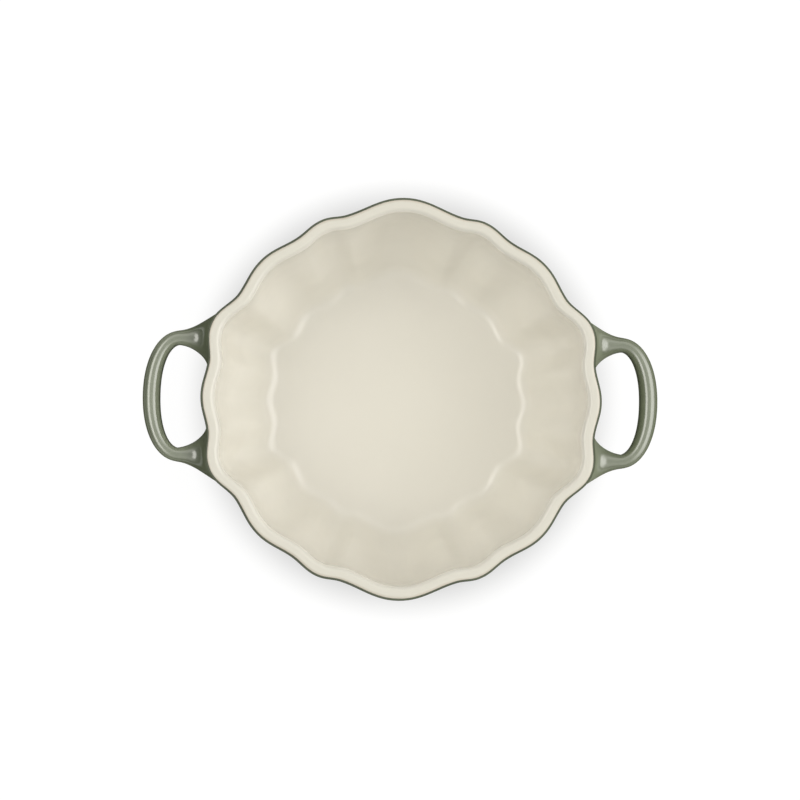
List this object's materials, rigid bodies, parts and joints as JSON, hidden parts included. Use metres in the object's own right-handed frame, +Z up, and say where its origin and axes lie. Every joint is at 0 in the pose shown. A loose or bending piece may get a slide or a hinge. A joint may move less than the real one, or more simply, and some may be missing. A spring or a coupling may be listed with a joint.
{
  "type": "mini cocotte",
  "caption": "Small open stoneware cocotte with a fluted flower-shaped wall, loop handles, cream lining, green outside and a bare foot ring, for baking and serving single portions.",
  "frame": {"origin": "on the table, under the middle of the foot ring", "axes": "+X towards the right handle, +Y across the pot, +Z up through the open top"},
  "size_m": [0.146, 0.1124, 0.056],
  "materials": {
    "green_glaze": "gloss",
    "cream_glaze": "gloss",
    "bare_clay": "matte"
  },
  "bodies": {
    "root": {"stoneware_body": "green_glaze", "interior_glaze": "cream_glaze", "handle_left": "green_glaze", "handle_right": "green_glaze", "foot_ring": "bare_clay"}
  },
  "joints": []
}
